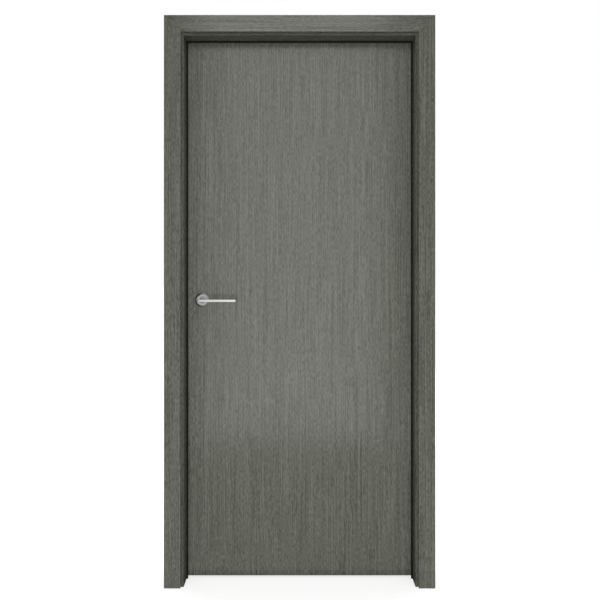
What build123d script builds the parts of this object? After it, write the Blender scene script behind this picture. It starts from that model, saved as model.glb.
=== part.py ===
from build123d import *
import os

# A flush interior door in its rebated frame: a hollow leaf of two face boards on a timber
# frame, a lined opening with flat mitred casings on both sides of the wall, three butt hinges
# and a pair of lever handles on round roses. Millimetres.
# The origin is on the wall face of the hinge jamb, at floor level and half way through the
# wall. +X points from the jamb into the wall, +Y from the push side to the pull side, +Z up.

# Leaf
leaf_width = 860.0
leaf_height = 2000.0
leaf_thickness = 40.0
leaf_floor_gap = 10.0
leaf_edge_gap = 5.0
face_board_thickness = 4.0
lipping_thickness = 2.0
lipping_arris = 1.0
stile_width = 43.0
rail_height = 60.0
lock_block_width = 90.0
lock_block_height = 360.0

# Frame
jamb_depth = 100.0
jamb_thickness = 40.0
jamb_arris = 1.5
stop_lap = 10.0
seal_space = 5.0

# Casings
casing_width = 60.0
casing_thickness = 10.0
casing_arris = 1.0
casing_setback = 10.0

# Seal in the corner of the stop
seal_nose = 5.5
seal_lap = 9.0
seal_leaf_clearance = 0.3
seal_kerf_width = 3.0
seal_kerf_depth = 7.0
seal_kerf_from_stop_edge = 5.0
seal_kerf_clearance = 0.2

# Hinges
hinge_height = 100.0
hinge_flap_width = 30.0
hinge_flap_thickness = 2.5
hinge_axis_behind_leaf = 6.0
hinge_knuckles = 5
hinge_knuckle_gap = 0.4
hinge_knuckle_clearance = 0.6
hinge_pin_diameter = 5.0
hinge_pin_clearance = 0.15
hinge_pin_head_diameter = 8.0
hinge_pin_head_height = 3.0
hinge_top_inset = 200.0
hinge_bottom_inset = 230.0

# Latch
handle_height = 1037.0
handle_backset = 67.0
forend_width = 18.0
forend_length = 160.0
forend_thickness = 3.0
latch_case_thickness = 14.0
latch_case_height = 110.0
latch_case_behind_spindle = 20.0
latch_case_clearance = 1.0
bolt_width = 12.0
bolt_height = 20.0
bolt_length = 40.0
bolt_clearance = 0.3
strike_width = 24.0
strike_length = 90.0
strike_thickness = 2.0
strike_pocket_depth = 16.0
strike_hole_clearance = 2.0

# Handles
rose_diameter = 52.0
rose_thickness = 9.0
rose_bevel = 6.0
rose_arris = 0.8
neck_diameter = 18.0
neck_clearance = 0.4
neck_leaf_clearance = 0.5
lever_projection = 50.0
lever_length = 130.0
lever_height = 9.2
lever_depth = 11.0
lever_arris = 1.5
lever_elbow_radius = 5.0
lever_neck_sink = 1.5
spindle_size = 8.0
spindle_socket_depth = 22.0
spindle_clearance = 0.1
spindle_bore_diameter = 18.0
follower_bore_diameter = 13.0

# Places worked out from the sizes above
rebate_width = stop_lap + leaf_edge_gap
opening_width = leaf_width - 2 * stop_lap
opening_height = leaf_floor_gap + leaf_height - stop_lap
frame_width = opening_width + 2 * jamb_thickness
frame_middle_x = -frame_width / 2
jamb_front_y = -jamb_depth / 2
jamb_back_y = jamb_depth / 2
leaf_back_y = jamb_back_y
leaf_front_y = leaf_back_y - leaf_thickness
leaf_middle_y = (leaf_front_y + leaf_back_y) / 2
core_front_y = leaf_front_y + face_board_thickness
core_back_y = leaf_back_y - face_board_thickness
stop_back_y = leaf_front_y - seal_space
stop_edge_x = -jamb_thickness
rebate_x = stop_edge_x + rebate_width
latch_rebate_x = -frame_width - rebate_x
leaf_hinge_x = rebate_x - leaf_edge_gap
leaf_lock_x = leaf_hinge_x - leaf_width
leaf_bottom_z = leaf_floor_gap
leaf_top_z = leaf_bottom_z + leaf_height
stile_hinge_x = leaf_hinge_x - lipping_thickness
stile_lock_x = leaf_lock_x + lipping_thickness
handle_x = leaf_lock_x + handle_backset
hinge_axis_x = rebate_x - leaf_edge_gap / 2
hinge_axis_y = leaf_back_y + hinge_axis_behind_leaf
knuckle_radius = leaf_edge_gap / 2 + hinge_flap_thickness
hinge_top_z = leaf_top_z - hinge_top_inset
hinge_bottom_z = leaf_bottom_z + hinge_bottom_inset
hinge_heights = {
    "top": hinge_top_z,
    "middle": (hinge_top_z + hinge_bottom_z) / 2,
    "bottom": hinge_bottom_z,
}


def block(x_range, y_range, z_range):
    """A box between two values along each axis."""
    ranges = (x_range, y_range, z_range)
    size = [abs(high - low) for low, high in ranges]
    middle = [(low + high) / 2 for low, high in ranges]
    return Pos(*middle) * Box(*size)


def bar_along_y(sketch, x, z, y_from, y_to):
    """A sketch drawn in X and Z, run along Y between two depths."""
    return extrude(Plane((x, y_from, z), (1, 0, 0), (0, -1, 0)) * sketch, amount=y_from - y_to)


def rounded(face, corners, radius):
    """The face with the named corners rounded."""
    vertices = [face.vertices().sort_by_distance(Vector(*corner))[0] for corner in corners]
    return fillet(vertices, radius)


def jamb_section():
    """Section of the lining: X outwards from the stop's edge, Y through the wall."""
    kerf_near = seal_kerf_from_stop_edge
    kerf_far = kerf_near + seal_kerf_width
    kerf_floor_y = stop_back_y - seal_kerf_depth
    front_arris = (0, jamb_front_y)
    stop_arris = (0, stop_back_y)
    back_arris = (rebate_width, jamb_back_y)
    outline = Polyline(
        front_arris,
        stop_arris,
        (kerf_near, stop_back_y),
        (kerf_near, kerf_floor_y),
        (kerf_far, kerf_floor_y),
        (kerf_far, stop_back_y),
        (rebate_width, stop_back_y),
        back_arris,
        (jamb_thickness, jamb_back_y),
        (jamb_thickness, jamb_front_y),
        close=True,
    )
    return rounded(make_face(outline), (front_arris, stop_arris, back_arris), jamb_arris)


def casing_section(wall_y, side):
    """Flat casing lying on one side of the wall: side is -1 in front and 1 behind."""
    face_y = wall_y + side * casing_thickness
    corners = ((0, wall_y), (0, face_y), (casing_width, face_y), (casing_width, wall_y))
    return rounded(make_face(Polyline(*corners, close=True)), corners[1:3], casing_arris)


def mitre_waste(inner_x, inner_z, reach, above):
    """The half of a frame corner that one of its two pieces gives up at a 45 degree mitre."""
    tip = (0, reach) if above else (reach, 0)
    triangle = make_face(Polyline((0, 0), (reach, reach), tip, close=True))
    waste = extrude(Plane.XZ * triangle, amount=jamb_depth, both=True)
    return Pos(inner_x, 0, inner_z) * waste


def mitred_surround(section, inner_x, inner_z, reach):
    """Two uprights and a head of one section round the opening, mitred at the corners."""
    upright = extrude(Pos(inner_x, 0, 0) * section, amount=inner_z + reach)
    upright -= mitre_waste(inner_x, inner_z, reach, True)
    far_upright = mirrored(upright)
    head_length = 2 * (inner_x - frame_middle_x + reach)
    turned = Rot(0, -90, 0) * extrude(section, amount=head_length)
    head = Pos(inner_x + reach, 0, inner_z) * turned
    corner = mitre_waste(inner_x, inner_z, reach, False)
    head = head - corner - mirrored(corner)
    return upright, far_upright, head


def mirrored(shape):
    """The same shape on the other side of the opening."""
    return mirror(shape, about=Plane.YZ.offset(frame_middle_x))


def seal_section():
    """Soft seal: a flat bulb with a round nose past the stop, and a stem in the kerf."""
    bulb_back_y = leaf_front_y - seal_leaf_clearance
    nose = (-seal_nose, stop_back_y)
    nose_back = (-seal_nose, bulb_back_y)
    heel = (seal_lap, stop_back_y)
    heel_back = (seal_lap, bulb_back_y)
    bulb = make_face(Polyline(nose, heel, heel_back, nose_back, close=True))
    bulb = rounded(bulb, (nose, nose_back, heel_back), (bulb_back_y - stop_back_y) * 0.45)
    stem_near = seal_kerf_from_stop_edge + seal_kerf_clearance
    stem_far = stem_near + seal_kerf_width - 2 * seal_kerf_clearance
    stem_end_y = stop_back_y - seal_kerf_depth + seal_kerf_clearance
    stem_points = (
        (stem_near, stop_back_y),
        (stem_far, stop_back_y),
        (stem_far, stem_end_y),
        (stem_near, stem_end_y),
    )
    return bulb + make_face(Polyline(*stem_points, close=True))


def make_seals():
    """Two side seals and a head seal in the kerfs of the stops, mitred at the corners."""
    nose_x = stop_edge_x - seal_nose
    nose_z = opening_height - seal_nose
    return mitred_surround(Pos(seal_nose, 0, 0) * seal_section(), nose_x, nose_z, seal_nose + seal_lap)


def flap_recess(side, z):
    """Room for one hinge flap, let in flush: side is 1 in the jamb and -1 in the leaf."""
    face_x = hinge_axis_x + side * leaf_edge_gap / 2
    return block(
        (face_x, face_x + side * hinge_flap_thickness),
        (hinge_axis_y - hinge_flap_width, leaf_back_y),
        (z - hinge_height / 2, z + hinge_height / 2),
    )


def knuckle_spans(z, first):
    """The heights of every second knuckle, counted from first, with a gap to each neighbour."""
    pitch = hinge_height / hinge_knuckles
    bottom = z - hinge_height / 2
    spans = []
    for count in range(first, hinge_knuckles, 2):
        low_gap = hinge_knuckle_gap / 2 if count > 0 else 0
        high_gap = hinge_knuckle_gap / 2 if count < hinge_knuckles - 1 else 0
        low = bottom + pitch * count
        spans.append((low + low_gap, low + pitch - high_gap))
    return spans


def hinge_flap(side, z, first):
    """A flap with its rolled knuckles: side is 1 on the jamb and -1 on the leaf."""
    inner_x = hinge_axis_x + side * leaf_edge_gap / 2
    flap = block(
        (inner_x, inner_x + side * hinge_flap_thickness),
        (hinge_axis_y - hinge_flap_width, hinge_axis_y),
        (z - hinge_height / 2, z + hinge_height / 2),
    )
    for low, high in knuckle_spans(z, 1 - first):
        room = Cylinder(knuckle_radius + hinge_knuckle_clearance, high - low + 2 * hinge_knuckle_gap)
        flap -= Pos(hinge_axis_x, hinge_axis_y, (low + high) / 2) * room
    for low, high in knuckle_spans(z, first):
        knuckle = Cylinder(knuckle_radius, high - low)
        flap += Pos(hinge_axis_x, hinge_axis_y, (low + high) / 2) * knuckle
    bore = Cylinder(hinge_pin_diameter / 2 + hinge_pin_clearance, hinge_height)
    return flap - Pos(hinge_axis_x, hinge_axis_y, z) * bore


def hinge_pin(z):
    """A plain pin with a head that rests on the top knuckle."""
    shank = Cylinder(hinge_pin_diameter / 2, hinge_height)
    head = Cylinder(hinge_pin_head_diameter / 2, hinge_pin_head_height)
    head_z = (hinge_height + hinge_pin_head_height) / 2
    return Pos(hinge_axis_x, hinge_axis_y, z) * (shank + Pos(0, 0, head_z) * head)


def forend_slot(width, length, depth):
    """Round-ended bar in the lock edge of the leaf, depth measured into the leaf."""
    plane = Plane((leaf_lock_x, leaf_middle_y, handle_height), (0, 0, 1), (1, 0, 0))
    return extrude(plane * SlotOverall(length, width), amount=depth)


def latch_room(clearance):
    """The mortised case behind the forend, grown by a clearance on its sides and back."""
    back_x = handle_x + latch_case_behind_spindle + clearance
    half_thickness = latch_case_thickness / 2 + clearance
    half_height = latch_case_height / 2 + clearance
    return block(
        (leaf_lock_x + forend_thickness, back_x),
        (leaf_middle_y - half_thickness, leaf_middle_y + half_thickness),
        (handle_height - half_height, handle_height + half_height),
    )


def bolt_room(clearance):
    """The latch bolt drawn back level with the forend, grown by a clearance."""
    half_width = bolt_width / 2 + clearance
    half_height = bolt_height / 2 + clearance
    return block(
        (leaf_lock_x, leaf_lock_x + bolt_length + clearance),
        (leaf_middle_y - half_width, leaf_middle_y + half_width),
        (handle_height - half_height, handle_height + half_height),
    )


def spindle_bore(diameter):
    """A round hole right through the leaf on the handle's axis."""
    return bar_along_y(Circle(diameter / 2), handle_x, handle_height, leaf_front_y, leaf_back_y)


def make_leaf():
    """The hollow leaf: boards, stiles, rails, lippings and lock block, cut for the fittings."""
    leaf_x = (stile_lock_x, stile_hinge_x)
    leaf_z = (leaf_bottom_z, leaf_top_z)
    core_y = (core_front_y, core_back_y)
    stile_inner_hinge_x = stile_hinge_x - stile_width
    stile_inner_lock_x = stile_lock_x + stile_width
    rail_x = (stile_inner_lock_x, stile_inner_hinge_x)
    block_z = (handle_height - lock_block_height / 2, handle_height + lock_block_height / 2)
    block_x = (stile_inner_lock_x, stile_inner_lock_x + lock_block_width)
    pieces = {
        "front_face_board": block(leaf_x, (leaf_front_y, core_front_y), leaf_z),
        "back_face_board": block(leaf_x, (core_back_y, leaf_back_y), leaf_z),
        "hinge_stile": block((stile_inner_hinge_x, stile_hinge_x), core_y, leaf_z),
        "lock_stile": block((stile_lock_x, stile_inner_lock_x), core_y, leaf_z),
        "top_rail": block(rail_x, core_y, (leaf_top_z - rail_height, leaf_top_z)),
        "bottom_rail": block(rail_x, core_y, (leaf_bottom_z, leaf_bottom_z + rail_height)),
        "lock_block": block(block_x, core_y, block_z),
        "hinge_edge_lipping": lipping(leaf_hinge_x, stile_hinge_x),
        "lock_edge_lipping": lipping(leaf_lock_x, stile_lock_x),
    }
    for z in hinge_heights.values():
        recess = flap_recess(-1, z)
        for node in ("back_face_board", "hinge_stile", "hinge_edge_lipping"):
            pieces[node] -= recess
    forend = forend_slot(forend_width, forend_length, forend_thickness)
    mortise = latch_room(latch_case_clearance)
    for node in ("lock_stile", "lock_edge_lipping", "lock_block"):
        pieces[node] = pieces[node] - forend - mortise
    bore = spindle_bore(spindle_bore_diameter)
    for node in ("front_face_board", "back_face_board", "lock_block", "lock_stile"):
        pieces[node] -= bore
    return pieces


def lipping(outer_x, inner_x):
    """A strip glued over one long edge of the leaf, with its two outer arrises eased."""
    strip = block((inner_x, outer_x), (leaf_front_y, leaf_back_y), (leaf_bottom_z, leaf_top_z))
    arrises = [
        edge
        for edge in strip.edges().filter_by(Axis.Z)
        if abs(edge.center().X - outer_x) < lipping_thickness / 2
    ]
    return fillet(arrises, lipping_arris)


def make_latch():
    """Mortise latch: a case with its forend, and the bolt drawn back inside it."""
    case = latch_room(0) + forend_slot(forend_width, forend_length, forend_thickness)
    case -= bolt_room(bolt_clearance)
    case -= spindle_bore(follower_bore_diameter)
    return case, bolt_room(0)


def strike_plane(x):
    """Plane in the latch rebate, drawn up the jamb and looking into it."""
    return Plane((x, leaf_middle_y, handle_height), (0, 0, 1), (-1, 0, 0))


def make_strike():
    """Strike plate let into the latch jamb, with the hole that the bolt springs into."""
    hole = Rectangle(bolt_height + 2 * strike_hole_clearance, bolt_width + 2 * strike_hole_clearance)
    plate = SlotOverall(strike_length, strike_width) - hole
    return extrude(strike_plane(latch_rebate_x) * plate, amount=strike_thickness)


def strike_pocket():
    """Seat of the strike plate and the mortise behind its hole."""
    seat = SlotOverall(strike_length, strike_width)
    hole = Rectangle(bolt_height + 2 * strike_hole_clearance, bolt_width + 2 * strike_hole_clearance)
    cut = extrude(strike_plane(latch_rebate_x) * seat, amount=strike_thickness)
    return cut + extrude(strike_plane(latch_rebate_x) * hole, amount=strike_pocket_depth)


def rose():
    """Turned rose with a bevelled rim, on the push side of the leaf."""
    radius = rose_diameter / 2
    bore_radius = neck_diameter / 2 + neck_clearance
    rim = (radius, rose_thickness - rose_bevel)
    face_edge = (radius - rose_bevel, rose_thickness)
    outline = Polyline(
        (bore_radius, 0), (radius, 0), rim, face_edge, (bore_radius, rose_thickness), close=True
    )
    section = rounded(make_face(outline), (rim, face_edge), rose_arris)
    turned = revolve(section, Axis.Y)
    return Pos(handle_x, leaf_front_y, handle_height) * Rot(180, 0, 0) * turned


def lever():
    """Push-side lever: a round neck that flattens into a slim bar with a rounded elbow."""
    bar_y = leaf_front_y - lever_projection
    bar_back_y = bar_y + lever_depth / 2
    bar_front_y = bar_y - lever_depth / 2
    neck_radius = neck_diameter / 2
    rose_face_y = leaf_front_y - rose_thickness
    journal_end_y = leaf_front_y - neck_leaf_clearance
    elbow = (handle_x - neck_radius, bar_front_y)
    plan = (
        elbow,
        (handle_x + lever_length, bar_front_y),
        (handle_x + lever_length, bar_back_y),
        (handle_x - neck_radius, bar_back_y),
    )
    plan_face = rounded(make_face(Polyline(*plan, close=True)), (elbow,), lever_elbow_radius)
    bar = extrude(plan_face, amount=lever_height)
    bar = fillet(bar.edges(), lever_arris)
    bar = Pos(0, 0, handle_height - lever_height / 2) * bar
    journal = bar_along_y(Circle(neck_radius), handle_x, handle_height, journal_end_y, rose_face_y)
    flat_y = bar_back_y - lever_neck_sink
    neck = loft(
        [
            Plane((handle_x, rose_face_y, handle_height), (1, 0, 0), (0, -1, 0)) * Circle(neck_radius),
            Plane((handle_x, flat_y, handle_height), (1, 0, 0), (0, -1, 0))
            * Ellipse(neck_radius - lever_arris, lever_height / 2 - lever_arris / 2),
        ]
    )
    socket_size = spindle_size + 2 * spindle_clearance
    socket = bar_along_y(
        Rectangle(socket_size, socket_size),
        handle_x,
        handle_height,
        journal_end_y,
        journal_end_y - spindle_socket_depth,
    )
    return bar + journal + neck - socket


def spindle():
    """Square bar that joins the two levers through the latch."""
    end = neck_leaf_clearance + spindle_socket_depth - spindle_clearance
    square = Rectangle(spindle_size, spindle_size)
    return bar_along_y(square, handle_x, handle_height, leaf_back_y + end, leaf_front_y - end)


def on_pull_side(shape):
    """The same fitting on the other face of the leaf."""
    return mirror(shape, about=Plane.XZ.offset(-leaf_middle_y))


def make_nodes():
    """Every piece of the door by its node name."""
    nodes = make_leaf()
    jambs = mitred_surround(jamb_section(), stop_edge_x, opening_height, jamb_thickness)
    front = mitred_surround(
        casing_section(jamb_front_y, -1),
        stop_edge_x + casing_setback,
        opening_height + casing_setback,
        casing_width,
    )
    back = mitred_surround(
        casing_section(jamb_back_y, 1),
        rebate_x + casing_setback,
        opening_height + rebate_width + casing_setback,
        casing_width,
    )
    seals = make_seals()
    for place, count in (("hinge", 0), ("latch", 1), ("head", 2)):
        nodes[f"{place}_jamb"] = jambs[count]
        nodes[f"front_{place}_casing"] = front[count]
        nodes[f"back_{place}_casing"] = back[count]
        nodes[f"{place}_seal"] = seals[count]
    for place, z in hinge_heights.items():
        nodes["hinge_jamb"] -= flap_recess(1, z)
        nodes[f"{place}_hinge_jamb_flap"] = hinge_flap(1, z, 0)
        nodes[f"{place}_hinge_leaf_flap"] = hinge_flap(-1, z, 1)
        nodes[f"{place}_hinge_pin"] = hinge_pin(z)
    nodes["latch_jamb"] -= strike_pocket()
    nodes["strike_plate"] = make_strike()
    nodes["latch_case"], nodes["latch_bolt"] = make_latch()
    nodes["front_rose"] = rose()
    nodes["back_rose"] = on_pull_side(nodes["front_rose"])
    nodes["front_lever"] = lever()
    nodes["back_lever"] = on_pull_side(nodes["front_lever"])
    nodes["handle_spindle"] = spindle()
    return nodes


os.makedirs("parts", exist_ok=True)
for node, shape in make_nodes().items():
    export_step(shape, f"parts/{node}.step")
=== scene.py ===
import math

import bmesh
import bpy
import numpy as np
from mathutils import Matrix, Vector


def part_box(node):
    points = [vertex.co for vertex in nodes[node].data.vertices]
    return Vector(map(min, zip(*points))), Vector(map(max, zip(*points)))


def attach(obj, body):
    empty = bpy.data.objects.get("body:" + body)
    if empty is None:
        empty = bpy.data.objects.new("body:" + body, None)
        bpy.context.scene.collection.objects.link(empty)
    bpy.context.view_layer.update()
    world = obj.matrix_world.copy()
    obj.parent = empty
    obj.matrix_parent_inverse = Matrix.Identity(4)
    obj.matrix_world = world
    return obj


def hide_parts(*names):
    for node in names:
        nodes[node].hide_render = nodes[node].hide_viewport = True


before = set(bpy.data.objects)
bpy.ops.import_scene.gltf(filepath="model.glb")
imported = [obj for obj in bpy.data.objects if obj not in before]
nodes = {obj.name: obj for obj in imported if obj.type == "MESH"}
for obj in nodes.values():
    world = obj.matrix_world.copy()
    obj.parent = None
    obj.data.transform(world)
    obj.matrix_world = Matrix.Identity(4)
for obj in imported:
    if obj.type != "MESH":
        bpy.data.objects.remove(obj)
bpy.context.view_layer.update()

# Lining: two jambs and a head of solid board, rebated for the leaf and wrapped in the same dyed
# ash-grey veneer as the leaf, its colour darkened as painted shade for the shaded reveals and soffit,
# under a duller lacquer. The grain runs along each board, and the head sits between the jambs.


def shader(name):
    """A new node material: returns it with its node tree and its surface shader."""
    material = bpy.data.materials.new(name)
    material.use_nodes = True
    tree = material.node_tree
    return material, tree, tree.nodes["Principled BSDF"]


def add_node(tree, kind, inputs=(), **settings):
    """A node of that kind: settings are its attributes, inputs are (socket, constant or output)."""
    node = tree.nodes.new(kind)
    for key, value in settings.items():
        setattr(node, key, value)
    for socket, value in inputs:
        if isinstance(value, bpy.types.NodeSocket):
            tree.links.new(value, node.inputs[socket])
        else:
            node.inputs[socket].default_value = value
    return node


def stretched_noise(tree, coordinates, cells, offset, detail=2.0, roughness=0.5):
    """Noise with cells (x, y, z) to the metre, so that a small number draws it out along that axis."""
    place = add_node(
        tree,
        "ShaderNodeMapping",
        [("Vector", coordinates), ("Scale", cells), ("Location", offset)],
    )
    noise = add_node(
        tree,
        "ShaderNodeTexNoise",
        [("Vector", place.outputs[0]), ("Scale", 1.0), ("Detail", detail), ("Roughness", roughness)],
    )
    return noise.outputs["Fac"]


def weighted(tree, parts):
    """The sum of noise outputs, each times its weight."""
    total = None
    for output, weight in parts:
        term = add_node(tree, "ShaderNodeMath", [(0, output), (1, weight)], operation="MULTIPLY").outputs[0]
        if total is not None:
            term = add_node(tree, "ShaderNodeMath", [(0, total), (1, term)], operation="ADD").outputs[0]
        total = term
    return total


def graded(tree, factor, stops):
    """A colour ramp through (position, colour) stops."""
    ramp = add_node(tree, "ShaderNodeValToRGB", [("Fac", factor)])
    elements = ramp.color_ramp.elements
    while len(elements) < len(stops):
        elements.new(0.5)
    for element, (position, colour) in zip(elements, stops):
        element.position = position
        element.color = (*colour, 1.0)
    return ramp.outputs["Color"]


def ranged(tree, factor, low, high, out_low, out_high):
    """The factor moved from low..high to out_low..out_high, held at the ends."""
    node = add_node(
        tree,
        "ShaderNodeMapRange",
        [("Value", factor), ("From Min", low), ("From Max", high), ("To Min", out_low), ("To Max", out_high)],
    )
    return node.outputs[0]


def relief(tree, surface, height, distance, strength):
    """Joins a bump of that height output to the surface shader."""
    bump = add_node(
        tree,
        "ShaderNodeBump",
        [("Height", height), ("Distance", distance), ("Strength", strength)],
    )
    tree.links.new(bump.outputs["Normal"], surface.inputs["Normal"])


def along(grain, across_cells, along_cells):
    """Cells to the metre for a pattern that is drawn out along one axis."""
    return tuple(along_cells if axis == grain else across_cells for axis in "xyz")


VENEER_DARK = (0.062, 0.064, 0.050)
VENEER_MID = (0.118, 0.121, 0.098)
VENEER_PALE = (0.174, 0.178, 0.146)


def veneer(name, grain, offset, depth=1.0, sheen=0.5):
    """Dyed open-pored veneer under thin lacquer: cloudy tone, long fine streaks, a short figure and
    finer pores along the grain. Depth times the dye's colours darkens or pales the whole board, and below
    1 it is painted shade; sheen is how much the lacquer reflects."""
    material, tree, surface = shader(name)
    place = add_node(tree, "ShaderNodeTexCoord").outputs["Object"]
    sway = stretched_noise(tree, place, along(grain, 9.0, 4.0), offset, 1.0)
    swing = ranged(tree, sway, 0.0, 1.0, -0.003, 0.003)
    swayed = add_node(tree, "ShaderNodeVectorMath", [(0, place), (1, swing)], operation="ADD").outputs[0]
    cloud = stretched_noise(tree, place, along(grain, 14.0, 1.1), offset, 2.0)
    streak = stretched_noise(tree, swayed, along(grain, 620.0, 2.6), offset, 0.0)
    figure = stretched_noise(tree, swayed, along(grain, 720.0, 72.0), offset, 0.0)
    pore = stretched_noise(tree, swayed, along(grain, 2600.0, 110.0), offset, 1.0)
    tone = weighted(tree, [(cloud, 0.03), (streak, 0.37), (figure, 0.44), (pore, 0.16)])
    dyes = [tuple(depth * part for part in dye) for dye in (VENEER_DARK, VENEER_MID, VENEER_PALE)]
    colour = graded(tree, tone, list(zip((0.40, 0.50, 0.60), dyes)))
    tree.links.new(colour, surface.inputs["Base Color"])
    tree.links.new(ranged(tree, pore, 0.3, 0.7, 0.26, 0.16), surface.inputs["Roughness"])
    surface.inputs["Specular IOR Level"].default_value = sheen
    relief(tree, surface, weighted(tree, [(figure, 0.4), (pore, 0.6)]), 0.0003, 0.25)
    return material


def dress(node, material):
    """Puts a material on a node of the frame."""
    nodes[node].data.materials.clear()
    nodes[node].data.materials.append(material)


# Depth 0.78 darkens the lining's veneer: painted shade standing in for the shade on its reveals and soffit.
dress("hinge_jamb", veneer("hinge_jamb_veneer", "z", (1.3, 0.2, 0.0), 0.78, 0.10))
dress("latch_jamb", veneer("latch_jamb_veneer", "z", (4.1, 1.7, 0.6), 0.78, 0.10))
dress("head_jamb", veneer("head_jamb_veneer", "x", (0.4, 3.3, 2.2), 0.78, 0.10))

# Casings: flat boards with softened edges on both sides of the wall, mitred at the two top corners
# and pinned to the lining. Each is veneered along its length, so the grain turns at the mitres.
for count, side in enumerate(("front", "back")):
    shift = 7.0 * count
    dress(f"{side}_hinge_casing", veneer(f"{side}_hinge_casing_veneer", "z", (shift + 2.6, 5.1, 1.4)))
    dress(f"{side}_latch_casing", veneer(f"{side}_latch_casing_veneer", "z", (shift + 6.2, 8.3, 3.9)))
    dress(f"{side}_head_casing", veneer(f"{side}_head_casing_veneer", "x", (shift + 9.4, 2.8, 5.5)))

# Seals: soft black extruded rubber, pressed by a stem into a kerf in the stop. The bulb closes the
# gap between the stop and the leaf, and it is mitred at the corners.
RUBBER_BLACK = (0.005, 0.005, 0.005)
RUBBER_DUSTY = (0.010, 0.010, 0.0095)


def rubber(name):
    """Matt rubber: near black with a fine bloom, and faint draw lines from the die."""
    material, tree, surface = shader(name)
    place = add_node(tree, "ShaderNodeTexCoord").outputs["Object"]
    bloom = stretched_noise(tree, place, (60.0, 60.0, 60.0), (0.0, 0.0, 0.0), 3.0)
    lines = stretched_noise(tree, place, (2600.0, 2600.0, 8.0), (0.0, 0.0, 0.0), 1.0)
    tree.links.new(
        graded(tree, bloom, [(0.3, RUBBER_BLACK), (0.75, RUBBER_DUSTY)]), surface.inputs["Base Color"]
    )
    tree.links.new(ranged(tree, bloom, 0.3, 0.7, 0.55, 0.75), surface.inputs["Roughness"])
    surface.inputs["Specular IOR Level"].default_value = 0.12
    relief(tree, surface, lines, 0.0001, 0.3)
    return material


seal_rubber = rubber("seal_rubber")
for place in ("hinge", "latch", "head"):
    dress(f"{place}_seal", seal_rubber)

# Strike plate: a round-ended plate of brushed steel let in flush in the latch jamb, with a hole for
# the bolt and two countersunk screws.
STEEL_DARK = (0.36, 0.36, 0.355)
STEEL_PALE = (0.56, 0.56, 0.55)


def brushed(name, brush, dark, pale, rough_low, rough_high):
    """Brushed metal: fine scratches drawn out along the brush axis, over a faint cloud of handling."""
    material, tree, surface = shader(name)
    place = add_node(tree, "ShaderNodeTexCoord").outputs["Object"]
    scratch = stretched_noise(tree, place, along(brush, 3200.0, 60.0), (0.0, 0.0, 0.0), 2.0, 0.6)
    cloud = stretched_noise(tree, place, (70.0, 70.0, 70.0), (3.0, 1.0, 2.0), 3.0)
    tone = weighted(tree, [(scratch, 0.65), (cloud, 0.35)])
    tree.links.new(graded(tree, tone, [(0.30, dark), (0.70, pale)]), surface.inputs["Base Color"])
    tree.links.new(ranged(tree, tone, 0.3, 0.7, rough_high, rough_low), surface.inputs["Roughness"])
    surface.inputs["Metallic"].default_value = 1.0
    relief(tree, surface, scratch, 0.00004, 0.3)
    return material


def tube(rings):
    """Rings (n, m, 3) of m points joined to their neighbours by quads, each end closed on its middle."""
    count, around = rings.shape[:2]
    points = np.concatenate([rings.reshape(-1, 3), rings[[0, -1]].mean(axis=1)])
    start = np.arange((count - 1) * around)
    step = np.where(start % around == around - 1, 1 - around, 1)
    quads = np.stack([start, start + step, start + step + around, start + around], axis=1)
    edge = np.arange(around)
    after = (edge + 1) % around
    last = (count - 1) * around
    centre = np.full(around, count * around)
    fans = np.concatenate(
        [
            np.stack([after, edge, centre], axis=1),
            np.stack([edge + last, after + last, centre + 1], axis=1),
        ]
    )
    return points, quads.tolist() + fans.tolist()


def hoop(rings):
    """Rings (n, m, 3) closed on themselves both ways, as on a turned ring."""
    count, around = rings.shape[:2]
    index = np.arange(count * around).reshape(count, around)
    side = np.roll(index, -1, axis=1)
    ahead = np.roll(index, -1, axis=0)
    corner = np.roll(side, -1, axis=0)
    faces = np.stack([index, side, corner, ahead], axis=-1).reshape(-1, 4)
    return rings.reshape(-1, 3), faces.tolist()


def make_piece(name, shells, material, body, replaced=()):
    """One object of closed shells, faces outward, smooth but for real edges, riding on its body."""
    points = np.concatenate([shell[0] for shell in shells])
    starts = np.cumsum([0] + [len(shell[0]) for shell in shells])
    faces = [[i + start for i in face] for start, shell in zip(starts.tolist(), shells) for face in shell[1]]
    mesh = bpy.data.meshes.new(name)
    mesh.from_pydata(points.tolist(), [], faces)
    shape = bmesh.new()
    shape.from_mesh(mesh)
    bmesh.ops.recalc_face_normals(shape, faces=shape.faces)
    shape.to_mesh(mesh)
    shape.free()
    mesh.polygons.foreach_set("use_smooth", np.ones(len(mesh.polygons), bool))
    mesh.set_sharp_from_angle(angle=math.radians(38))
    mesh.materials.append(material)
    thing = bpy.data.objects.new(name, mesh)
    bpy.context.scene.collection.objects.link(thing)
    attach(thing, body)
    if replaced:
        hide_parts(*replaced)
    return thing


def screw_head(centre, out, radius):
    """A raised countersunk head facing along x by the sign out: on a disc of rings, the height is a low
    dome less a cross recess, which is a narrow slot in y and one in z that both run out near the rim."""
    turns, steps = 48, 15
    angle = np.linspace(0.0, 2 * np.pi, turns, endpoint=False)
    share = np.linspace(0.06, 1.0, steps)
    ring, turn = np.meshgrid(share, angle, indexing="ij")
    across, up = ring * np.cos(turn), ring * np.sin(turn)
    dome = 0.10 * radius * (1 - ring**2)
    slot = np.maximum(
        np.clip((0.16 - np.abs(across)) / 0.05, 0, 1) * np.clip((0.62 - np.abs(up)) / 0.12, 0, 1),
        np.clip((0.16 - np.abs(up)) / 0.05, 0, 1) * np.clip((0.62 - np.abs(across)) / 0.12, 0, 1),
    )
    height = dome - 0.28 * radius * slot
    top = np.stack([centre[0] + out * height, centre[1] + radius * across, centre[2] + radius * up], axis=-1)
    foot = top[-1:].copy()
    foot[..., 0] = centre[0] - out * 0.35 * radius
    return tube(np.concatenate([top, foot]))


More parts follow.
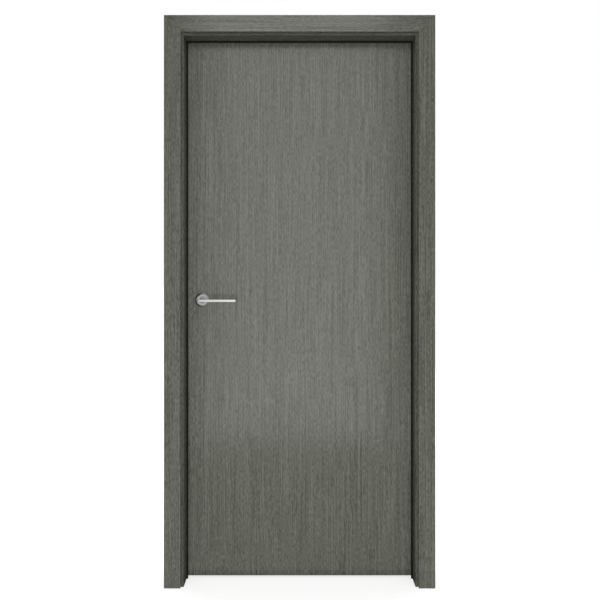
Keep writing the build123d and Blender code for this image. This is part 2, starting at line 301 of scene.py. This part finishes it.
strike_steel = brushed("strike_brushed_steel", "z", STEEL_DARK, STEEL_PALE, 0.26, 0.40)
screw_steel = brushed("screw_steel", "y", STEEL_DARK, STEEL_PALE, 0.22, 0.34)
dress("strike_plate", strike_steel)
strike_low, strike_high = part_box("strike_plate")
strike_middle = (strike_low + strike_high) / 2
make_piece(
    "strike_plate_screws",
    [
        screw_head((strike_high.x, strike_middle.y, strike_middle.z + drop), 1.0, 0.0035)
        for drop in (-0.031, 0.031)
    ],
    screw_steel,
    "frame",
)

# Hinges: three steel butt hinges let in flush, each two flaps rolled into five interleaved knuckles
# on a loose pin, with four countersunk screws in every flap.
HINGE_AXIS = (-0.0275, 0.056)
FLAP_THICKNESS = 0.0025
FLAP_EDGE_Y = 0.026
KNUCKLE_RADIUS = 0.005
KNUCKLE_ROOM = 0.0056
KNUCKLES = 5
KNUCKLE_GAP = 0.0004
ROLL_ARRIS = 0.0003
HINGE_HEIGHT = 0.1
PIN_RADIUS = 0.0025
PIN_HEAD_RADIUS = 0.004
PIN_HEAD_HEIGHT = 0.003
PIN_HEAD_ROUND = 0.001


def extruded(outline, low, high, arris):
    """An outline (m, 2) in plan carried up from low to high: the first and last rings are drawn in
    towards the middle of their edges by the arris, so that the ends are softened."""
    ahead = np.roll(outline, -1, axis=0) - outline
    behind = outline - np.roll(outline, 1, axis=0)
    run = ahead / np.linalg.norm(ahead, axis=1, keepdims=True) + behind / np.linalg.norm(
        behind, axis=1, keepdims=True
    )
    inward = np.stack([-run[:, 1], run[:, 0]], axis=1)
    inward /= np.linalg.norm(inward, axis=1, keepdims=True)
    area = np.sum(outline[:, 0] * np.roll(outline[:, 1], -1) - outline[:, 1] * np.roll(outline[:, 0], -1))
    inset = outline + math.copysign(arris, area) * inward
    plans = np.stack([inset, outline, outline, inset])
    heights = np.array([low, low + arris, high - arris, high])
    levels = np.broadcast_to(heights[:, None, None], (4, len(outline), 1))
    return tube(np.concatenate([plans, levels], axis=2))


def rolled_outline(side):
    """Flap and knuckle in plan: the flat plate up to the barrel, then round the barrel and back."""
    turn = np.radians(np.linspace(0.0, 300.0, 41))
    barrel = np.stack([side * np.cos(turn), np.sin(turn)], axis=1) * KNUCKLE_RADIUS
    plate_end = FLAP_EDGE_Y - HINGE_AXIS[1]
    outer, inner = side * KNUCKLE_RADIUS, side * (KNUCKLE_RADIUS - FLAP_THICKNESS)
    return np.concatenate([[[outer, plate_end]], barrel, [[inner, plate_end]]]) + HINGE_AXIS


def cut_back_outline(side):
    """Flap in plan where the other flap's knuckle turns: the plate ends in a hollow round it."""
    outer, inner = KNUCKLE_RADIUS, KNUCKLE_RADIUS - FLAP_THICKNESS
    turn = np.linspace(-math.acos(outer / KNUCKLE_ROOM), -math.acos(inner / KNUCKLE_ROOM), 7)
    hollow = np.stack([side * np.cos(turn), np.sin(turn)], axis=1) * KNUCKLE_ROOM
    plate_end = FLAP_EDGE_Y - HINGE_AXIS[1]
    return np.concatenate([[[side * outer, plate_end]], hollow, [[side * inner, plate_end]]]) + HINGE_AXIS


def hinge_flap(side, low, first):
    """Five lengths from low upwards: rolled where this flap has the knuckle, cut back elsewhere."""
    pitch = HINGE_HEIGHT / KNUCKLES
    shells = []
    for count in range(KNUCKLES):
        bottom, top = low + pitch * count, low + pitch * (count + 1)
        rolled = count % 2 == first
        gap = KNUCKLE_GAP / 2
        if rolled:
            bottom += gap if count > 0 else 0.0
            top -= gap if count < KNUCKLES - 1 else 0.0
        shells.append(
            extruded(rolled_outline(side) if rolled else cut_back_outline(side), bottom, top, ROLL_ARRIS)
        )
    return shells


def turned_pin(low):
    """A pin turned about the hinge's axis, from the foot up: a small bevel, the straight shank, then a
    wider head whose upper edge is a quarter round that ends in a flat crown."""
    bend = np.linspace(0.0, np.pi / 2, 7)
    head_reach = PIN_HEAD_RADIUS - PIN_HEAD_ROUND * (1 - np.cos(bend))
    head_level = HINGE_HEIGHT + PIN_HEAD_HEIGHT - PIN_HEAD_ROUND * (1 - np.sin(bend))
    reach = np.concatenate([[PIN_RADIUS - ROLL_ARRIS, PIN_RADIUS, PIN_RADIUS, PIN_HEAD_RADIUS], head_reach])
    level = np.concatenate([[0.0, ROLL_ARRIS, HINGE_HEIGHT, HINGE_HEIGHT], head_level])
    turn = np.linspace(0.0, 2 * np.pi, 40, endpoint=False)
    rings = np.stack(
        [
            HINGE_AXIS[0] + reach[:, None] * np.cos(turn),
            HINGE_AXIS[1] + reach[:, None] * np.sin(turn),
            np.broadcast_to(low + level[:, None], (len(reach), len(turn))),
        ],
        axis=2,
    )
    return tube(rings)


hinge_steel = brushed("hinge_brushed_steel", "z", (0.34, 0.34, 0.335), (0.50, 0.50, 0.49), 0.24, 0.36)
for height_name in ("top", "middle", "bottom"):
    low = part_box(f"{height_name}_hinge_jamb_flap")[0].z
    for fixing, rider, side, first in (("jamb", "frame", 1.0, 0), ("leaf", "leaf", -1.0, 1)):
        node = f"{height_name}_hinge_{fixing}_flap"
        make_piece(f"{node}_rolled", hinge_flap(side, low, first), hinge_steel, rider, [node])
        inner_x = HINGE_AXIS[0] + side * (KNUCKLE_RADIUS - FLAP_THICKNESS)
        make_piece(
            f"{node}_screws",
            [
                screw_head((inner_x, y, low + z), -side, 0.004)
                for y, z in ((0.034, 0.014), (0.043, 0.036), (0.043, 0.064), (0.034, 0.086))
            ],
            screw_steel,
            rider,
        )
    pin_node = f"{height_name}_hinge_pin"
    pin_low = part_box(pin_node)[0].z
    make_piece(f"{pin_node}_turned", [turned_pin(pin_low)], hinge_steel, "frame", [pin_node])

# Leaf core: softwood stiles and rails with a lock block, glued up under the face boards. Only the
# planed top and bottom edges of the rails are ever seen.
PINE_EARLY = (0.42, 0.27, 0.145)
PINE_LATE = (0.25, 0.135, 0.062)


def pine(name, grain):
    """Planed softwood: growth bands across the grain, broken by fine fibres along it."""
    material, tree, surface = shader(name)
    place = add_node(tree, "ShaderNodeTexCoord").outputs["Object"]
    band = stretched_noise(tree, place, along(grain, 190.0, 2.5), (0.7, 0.3, 0.9), 1.0)
    fibre = stretched_noise(tree, place, along(grain, 1400.0, 22.0), (0.0, 0.0, 0.0), 2.0, 0.6)
    tone = weighted(tree, [(band, 0.7), (fibre, 0.3)])
    tree.links.new(
        graded(tree, tone, [(0.36, PINE_LATE), (0.50, PINE_EARLY)]), surface.inputs["Base Color"]
    )
    tree.links.new(ranged(tree, fibre, 0.3, 0.7, 0.55, 0.72), surface.inputs["Roughness"])
    relief(tree, surface, fibre, 0.0002, 0.3)
    return material


pine_upright, pine_level = pine("core_pine_upright", "z"), pine("core_pine_level", "x")
for node in ("hinge_stile", "lock_stile", "lock_block"):
    dress(node, pine_upright)
for node in ("top_rail", "bottom_rail"):
    dress(node, pine_level)

# Leaf faces: two thin boards with upright veneer pressed over the core, and narrow veneered
# lippings glued to the long edges and eased with a plane.
dress("front_face_board", veneer("front_face_veneer", "z", (3.7, 6.4, 8.8)))
dress("back_face_board", veneer("back_face_veneer", "z", (8.2, 1.9, 4.6)))
dress("hinge_edge_lipping", veneer("hinge_edge_veneer", "z", (5.5, 9.2, 7.3)))
dress("lock_edge_lipping", veneer("lock_edge_veneer", "z", (2.1, 4.4, 6.7)))

# Latch: a pressed steel case mortised into the lock edge, with a round-ended brushed forend held by
# two screws, and the sprung bolt drawn back level with it.
forend_steel = brushed("forend_brushed_steel", "z", STEEL_DARK, STEEL_PALE, 0.26, 0.40)
bolt_steel = brushed("bolt_ground_steel", "y", (0.44, 0.44, 0.43), (0.62, 0.62, 0.61), 0.18, 0.30)
dress("latch_case", forend_steel)
dress("latch_bolt", bolt_steel)
forend_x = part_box("latch_case")[0].x
forend_middle = (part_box("lock_edge_lipping")[0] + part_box("lock_edge_lipping")[1]) / 2
handle_height = (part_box("front_rose")[0].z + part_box("front_rose")[1].z) / 2
make_piece(
    "forend_screws",
    [
        screw_head((forend_x, forend_middle.y, handle_height + drop), -1.0, 0.0035)
        for drop in (-0.066, 0.066)
    ],
    screw_steel,
    "leaf",
)

# Roses: turned discs of satin nickel with a bevelled rim, screwed to the leaf from under the cap.
# The face keeps the fine rings of the lathe, and its nickel is coloured darker than the levers' as painted
# shade.
ROSE_RADIUS = 0.026
ROSE_THICKNESS = 0.009
ROSE_BEVEL = 0.006
ROSE_ARRIS = 0.0008
ROSE_BORE = 0.0094
HANDLE_X = (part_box("front_rose")[0].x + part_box("front_rose")[1].x) / 2
LEAF_FRONT_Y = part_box("front_face_board")[0].y
LEAF_BACK_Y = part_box("back_face_board")[1].y


def rounded_outline(corners, radii, steps):
    """A closed outline (m, 2) with each corner cut by an arc of its radius, tangent to both sides."""
    corners = np.asarray(corners, float)
    points = []
    for i, radius in enumerate(radii):
        here, before, after = corners[i], corners[i - 1], corners[(i + 1) % len(corners)]
        a = (before - here) / np.linalg.norm(before - here)
        b = (after - here) / np.linalg.norm(after - here)
        if radius == 0:
            points.append(here[None])
            continue
        half = math.acos(float(np.clip(a @ b, -1, 1))) / 2
        middle = here + (a + b) / np.linalg.norm(a + b) * radius / math.sin(half)
        first, last = here + a * radius / math.tan(half) - middle, here + b * radius / math.tan(half) - middle
        share = np.linspace(0.0, 1.0, steps)[:, None]
        sweep = math.pi - 2 * half
        arc = (np.sin((1 - share) * sweep) * first + np.sin(share * sweep) * last) / math.sin(sweep)
        points.append(middle + arc)
    return np.concatenate(points)


def turned_rose(face_y, out):
    """The rim outline turned about the handle's axis: out is the sign of y away from the leaf."""
    outline = rounded_outline(
        [
            (ROSE_BORE, 0.0),
            (ROSE_RADIUS, 0.0),
            (ROSE_RADIUS, ROSE_THICKNESS - ROSE_BEVEL),
            (ROSE_RADIUS - ROSE_BEVEL, ROSE_THICKNESS),
            (ROSE_BORE, ROSE_THICKNESS),
        ],
        [0, 0, ROSE_ARRIS, ROSE_ARRIS, 0.0004],
        6,
    )
    turn = np.linspace(0.0, 2 * np.pi, 120, endpoint=False)
    reach, rise = outline[:, 0][:, None], outline[:, 1][:, None]
    rings = np.stack(
        [
            HANDLE_X + reach * np.cos(turn),
            face_y + out * np.broadcast_to(rise, (len(outline), len(turn))),
            handle_height + reach * np.sin(turn),
        ],
        axis=2,
    )
    return hoop(rings)


def lathed(name, dark, pale, rough_low, rough_high):
    """Satin metal with lathe rings: noise on the distance from the handle's axis."""
    material, tree, surface = shader(name)
    place = add_node(tree, "ShaderNodeTexCoord").outputs["Object"]
    centred = add_node(
        tree,
        "ShaderNodeMapping",
        [("Vector", place), ("Location", (-HANDLE_X, 0.0, -handle_height)), ("Scale", (1.0, 0.0, 1.0))],
    )
    reach = add_node(tree, "ShaderNodeVectorMath", [(0, centred.outputs[0])], operation="LENGTH")
    spread = add_node(tree, "ShaderNodeCombineXYZ", [("X", reach.outputs["Value"])]).outputs[0]
    rings = stretched_noise(tree, spread, (2600.0, 1.0, 1.0), (0.0, 0.0, 0.0), 2.0, 0.6)
    cloud = stretched_noise(tree, place, (90.0, 90.0, 90.0), (1.0, 2.0, 3.0), 3.0)
    tone = weighted(tree, [(rings, 0.6), (cloud, 0.4)])
    tree.links.new(graded(tree, tone, [(0.3, dark), (0.7, pale)]), surface.inputs["Base Color"])
    tree.links.new(ranged(tree, tone, 0.3, 0.7, rough_high, rough_low), surface.inputs["Roughness"])
    surface.inputs["Metallic"].default_value = 1.0
    relief(tree, surface, rings, 0.00003, 0.25)
    return material


# The roses' nickel is set darker than the levers' satin nickel: painted shade on a copy of the same metal.
rose_shaded_nickel = lathed("rose_nickel_painted_shade", (0.32, 0.32, 0.325), (0.42, 0.42, 0.42), 0.26, 0.34)
make_piece(
    "front_turned_rose",
    [turned_rose(LEAF_FRONT_Y, -1.0)],
    rose_shaded_nickel,
    "leaf",
    ["front_rose"],
)
make_piece(
    "back_turned_rose",
    [turned_rose(LEAF_BACK_Y, 1.0)],
    rose_shaded_nickel,
    "leaf",
    ["back_rose"],
)

# Levers: cast in satin nickel as one piece, a round neck that flattens into a slim bar with a
# rounded elbow, ground flat and brushed along its length. A square spindle joins the two.
LEVER_HEIGHT = 0.0092
LEVER_DEPTH = 0.011
LEVER_ARRIS = 0.0015
LEVER_LENGTH = 0.130
LEVER_PROJECTION = 0.050
ELBOW_RADIUS = 0.005
NECK_RADIUS = 0.009
NECK_LEAF_CLEARANCE = 0.0005
NECK_SINK = 0.0015


def lever_bar(face_y, out):
    """A rounded rectangle carried along the bar: near each end it is drawn in by a quarter round of
    the arris, and at the elbow its outer side also falls back along the elbow's arc."""
    ends = LEVER_ARRIS * (1 - np.cos(np.linspace(0.0, np.pi / 2, 6)))
    bend = ELBOW_RADIUS * (1 - np.cos(np.linspace(0.0, np.pi / 2, 15)))
    length = NECK_RADIUS + LEVER_LENGTH
    station = np.unique(np.concatenate([ends, bend, np.linspace(ELBOW_RADIUS, length, 30), length - ends]))
    near = np.minimum(np.minimum(station, length - station), LEVER_ARRIS)
    drawn = LEVER_ARRIS - np.sqrt(np.maximum(LEVER_ARRIS**2 - (LEVER_ARRIS - near) ** 2, 0.0))
    left = np.minimum(station, ELBOW_RADIUS)
    fallen = ELBOW_RADIUS - np.sqrt(np.maximum(ELBOW_RADIUS**2 - (ELBOW_RADIUS - left) ** 2, 0.0))
    outer = LEVER_DEPTH / 2 - np.maximum(drawn, fallen)
    inner = -LEVER_DEPTH / 2 + drawn
    top = LEVER_HEIGHT / 2 - drawn
    round_off = np.minimum(LEVER_ARRIS, np.minimum(top, (outer - inner) / 2) * 0.98)
    quarter = np.linspace(0.0, np.pi / 2, 9)
    turn = np.concatenate([quarter, quarter + np.pi / 2, quarter + np.pi, quarter + 1.5 * np.pi])
    outward = np.repeat([1.0, -1.0, -1.0, 1.0], 9)
    upward = np.repeat([1.0, 1.0, -1.0, -1.0], 9)
    middle, half = (outer + inner) / 2, (outer - inner) / 2
    depth = middle[:, None] + outward * (half - round_off)[:, None] + round_off[:, None] * np.cos(turn)
    rise = upward * (top - round_off)[:, None] + round_off[:, None] * np.sin(turn)
    rings = np.stack(
        [
            np.broadcast_to((HANDLE_X - NECK_RADIUS + station)[:, None], depth.shape),
            face_y + out * (LEVER_PROJECTION + depth),
            handle_height + rise,
        ],
        axis=2,
    )
    return tube(rings)


def lever_neck(face_y, out):
    """A round journal in the rose, then ellipses that flatten evenly until they sink into the bar."""
    flat = LEVER_PROJECTION - LEVER_DEPTH / 2 + NECK_SINK
    share = np.linspace(0.0, 1.0, 20)
    depth = np.concatenate([[NECK_LEAF_CLEARANCE], ROSE_THICKNESS + (flat - ROSE_THICKNESS) * share])
    wide = np.concatenate([[NECK_RADIUS], NECK_RADIUS - LEVER_ARRIS * share])
    high = np.concatenate(
        [[NECK_RADIUS], NECK_RADIUS + (LEVER_HEIGHT / 2 - LEVER_ARRIS / 2 - NECK_RADIUS) * share]
    )
    turn = np.linspace(0.0, 2 * np.pi, 64, endpoint=False)
    rings = np.stack(
        [
            HANDLE_X + wide[:, None] * np.cos(turn),
            face_y + out * np.broadcast_to(depth[:, None], (len(depth), len(turn))),
            handle_height + high[:, None] * np.sin(turn),
        ],
        axis=2,
    )
    return tube(rings)


lever_nickel = brushed("lever_satin_nickel", "x", (0.50, 0.50, 0.49), (0.60, 0.60, 0.585), 0.34, 0.42)
make_piece(
    "front_slim_lever",
    [lever_bar(LEAF_FRONT_Y, -1.0), lever_neck(LEAF_FRONT_Y, -1.0)],
    lever_nickel,
    "handle",
    ["front_lever"],
)
make_piece(
    "back_slim_lever",
    [lever_bar(LEAF_BACK_Y, 1.0), lever_neck(LEAF_BACK_Y, 1.0)],
    lever_nickel,
    "handle",
    ["back_lever"],
)
dress("handle_spindle", brushed("spindle_steel", "y", STEEL_DARK, STEEL_PALE, 0.30, 0.42))

# Studio: a plain white floor that runs out to a white surround, soft lights low, high and to both sides
# in front, others behind and beside the door, and cards that show only as reflections in the finish.
MIDDLE_X = -0.46


def shown(tree):
    """1 for rays that show a thing to the camera, straight, mirrored or through glass, else 0."""
    path = add_node(tree, "ShaderNodeLightPath").outputs
    pair = [(0, path["Is Camera Ray"]), (1, path["Is Glossy Ray"])]
    straight = add_node(tree, "ShaderNodeMath", pair, operation="MAXIMUM").outputs[0]
    pair = [(0, straight), (1, path["Is Transmission Ray"])]
    return add_node(tree, "ShaderNodeMath", pair, operation="MAXIMUM").outputs[0]


world = bpy.data.worlds.new("studio")
bpy.context.scene.world = world
world.use_nodes = True
sky = world.node_tree
sky.nodes.clear()
dim = add_node(sky, "ShaderNodeBackground", [("Color", (1.0, 1.0, 1.0, 1.0)), ("Strength", 0.50)])
white = add_node(sky, "ShaderNodeBackground", [("Color", (1.0, 1.0, 1.0, 1.0)), ("Strength", 1.0)])
either = add_node(
    sky,
    "ShaderNodeMixShader",
    [("Fac", shown(sky)), (1, dim.outputs[0]), (2, white.outputs[0])],
)
add_node(sky, "ShaderNodeOutputWorld", [("Surface", either.outputs[0])])


def flat_sheet(name, corners):
    """A single rectangle through four corners."""
    mesh = bpy.data.meshes.new(name)
    mesh.from_pydata(corners, [], [(0, 1, 2, 3)])
    sheet = bpy.data.objects.new(name, mesh)
    bpy.context.scene.collection.objects.link(sheet)
    return sheet


floor_reach = 30.0
floor = flat_sheet(
    "studio_floor",
    [
        (-floor_reach, -floor_reach, 0.0),
        (floor_reach, -floor_reach, 0.0),
        (floor_reach, floor_reach, 0.0),
        (-floor_reach, floor_reach, 0.0),
    ],
)
floor_white, tree, surface = shader("floor_white")
surface.inputs["Base Color"].default_value = (0.56, 0.56, 0.56, 1.0)
surface.inputs["Roughness"].default_value = 0.9
surface.inputs["Specular IOR Level"].default_value = 0.0
place = add_node(tree, "ShaderNodeTexCoord").outputs["Object"]
reach = add_node(tree, "ShaderNodeVectorMath", [(0, place)], operation="LENGTH").outputs["Value"]
glow = ranged(tree, reach, 1.5, 5.0, 0.71, 0.86)
lift = add_node(tree, "ShaderNodeMath", [(0, shown(tree)), (1, glow)], operation="MULTIPLY")
surface.inputs["Emission Color"].default_value = (1.0, 1.0, 1.0, 1.0)
tree.links.new(lift.outputs[0], surface.inputs["Emission Strength"])
floor.data.materials.append(floor_white)


def soft_light(name, place, aim, width, height, power):
    """A rectangular lamp at a place, turned to face the aim."""
    lamp = bpy.data.lights.new(name, "AREA")
    lamp.shape = "RECTANGLE"
    lamp.size, lamp.size_y = width, height
    lamp.energy = power
    light = bpy.data.objects.new(name, lamp)
    toward = np.subtract(aim, place)
    light.location = place
    light.rotation_euler = (
        math.pi / 2 + math.atan2(toward[2], math.hypot(toward[0], toward[1])),
        0.0,
        math.atan2(toward[1], toward[0]) - math.pi / 2,
    )
    light.visible_glossy = False
    bpy.context.scene.collection.objects.link(light)
    return light


soft_light("low_light", (MIDDLE_X - 0.04, -2.6, 0.22), (MIDDLE_X, 0.0, 0.8), 0.6, 0.3, 25.0)
soft_light("top_light", (MIDDLE_X, -2.2, 3.2), (MIDDLE_X, 0.0, 1.8), 1.6, 0.6, 9.0)
soft_light("left_light", (MIDDLE_X - 1.9, -2.6, 1.95), (MIDDLE_X, 0.0, 1.4), 1.6, 1.8, 4.0)
soft_light("right_light", (MIDDLE_X + 1.9, -2.6, 1.95), (MIDDLE_X, 0.0, 1.4), 1.6, 1.8, 4.0)
soft_light("back_light", (MIDDLE_X, 4.0, 1.8), (MIDDLE_X, 0.0, 1.0), 2.6, 2.6, 100.0)
for name, sideways in (("left_edge_light", -4.0), ("right_edge_light", 4.0)):
    soft_light(name, (MIDDLE_X + sideways, 0.9, 1.5), (MIDDLE_X, 0.0, 1.1), 1.6, 2.0, 32.0)


def glossy_card(name, corners, strength):
    """A card of that brightness that shows only in reflections."""
    card = flat_sheet(name, corners)
    finish, tree, surface = shader(f"{name}_finish")
    tree.nodes.remove(surface)
    glow = add_node(tree, "ShaderNodeEmission", [("Color", (1.0, 1.0, 1.0, 1.0)), ("Strength", strength)])
    tree.links.new(glow.outputs[0], tree.nodes["Material Output"].inputs["Surface"])
    card.data.materials.append(finish)
    card.visible_camera = card.visible_diffuse = card.visible_shadow = False
    card.visible_transmission = False
    return card


glossy_card(
    "sheen_panel",
    [(-0.98, -1.0, 0.21), (0.02, -1.0, 0.21), (0.02, -1.0, 2.7), (-0.98, -1.0, 2.7)],
    1.8,
)
glossy_card(
    "dark_card",
    [(-3.6, -2.6, 0.01), (2.7, -2.6, 0.01), (2.7, -2.6, 4.2), (-3.6, -2.6, 4.2)],
    0.40,
)
glossy_card(
    "dark_mat",
    [(-3.6, -2.6, 0.003), (2.7, -2.6, 0.003), (2.7, -0.04, 0.003), (-3.6, -0.04, 0.003)],
    0.62,
)
# A dim card on the floor at the door's foot: painted shade, standing in for the shaded floor under the leaf
# where the reveals mirror it.
glossy_card(
    "foot_shade_card",
    [(-1.0, -0.04, 0.003), (0.08, -0.04, 0.003), (0.08, 0.05, 0.003), (-1.0, 0.05, 0.003)],
    0.05,
)

# Camera: level, square on to the door and a little above the handle, so that upright edges stay
# upright in the picture.
lens = bpy.data.cameras.new("camera")
lens.lens = 35.0
lens.sensor_width = 36.0
lens.shift_x = 0.00067
lens.shift_y = -0.06
camera = bpy.data.objects.new("camera", lens)
camera.location = (MIDDLE_X, -2.165, 1.171)
camera.rotation_euler = (math.pi / 2, 0.0, 0.0)
bpy.context.scene.collection.objects.link(camera)
bpy.context.scene.camera = camera
bpy.context.scene.view_settings.view_transform = "Standard"
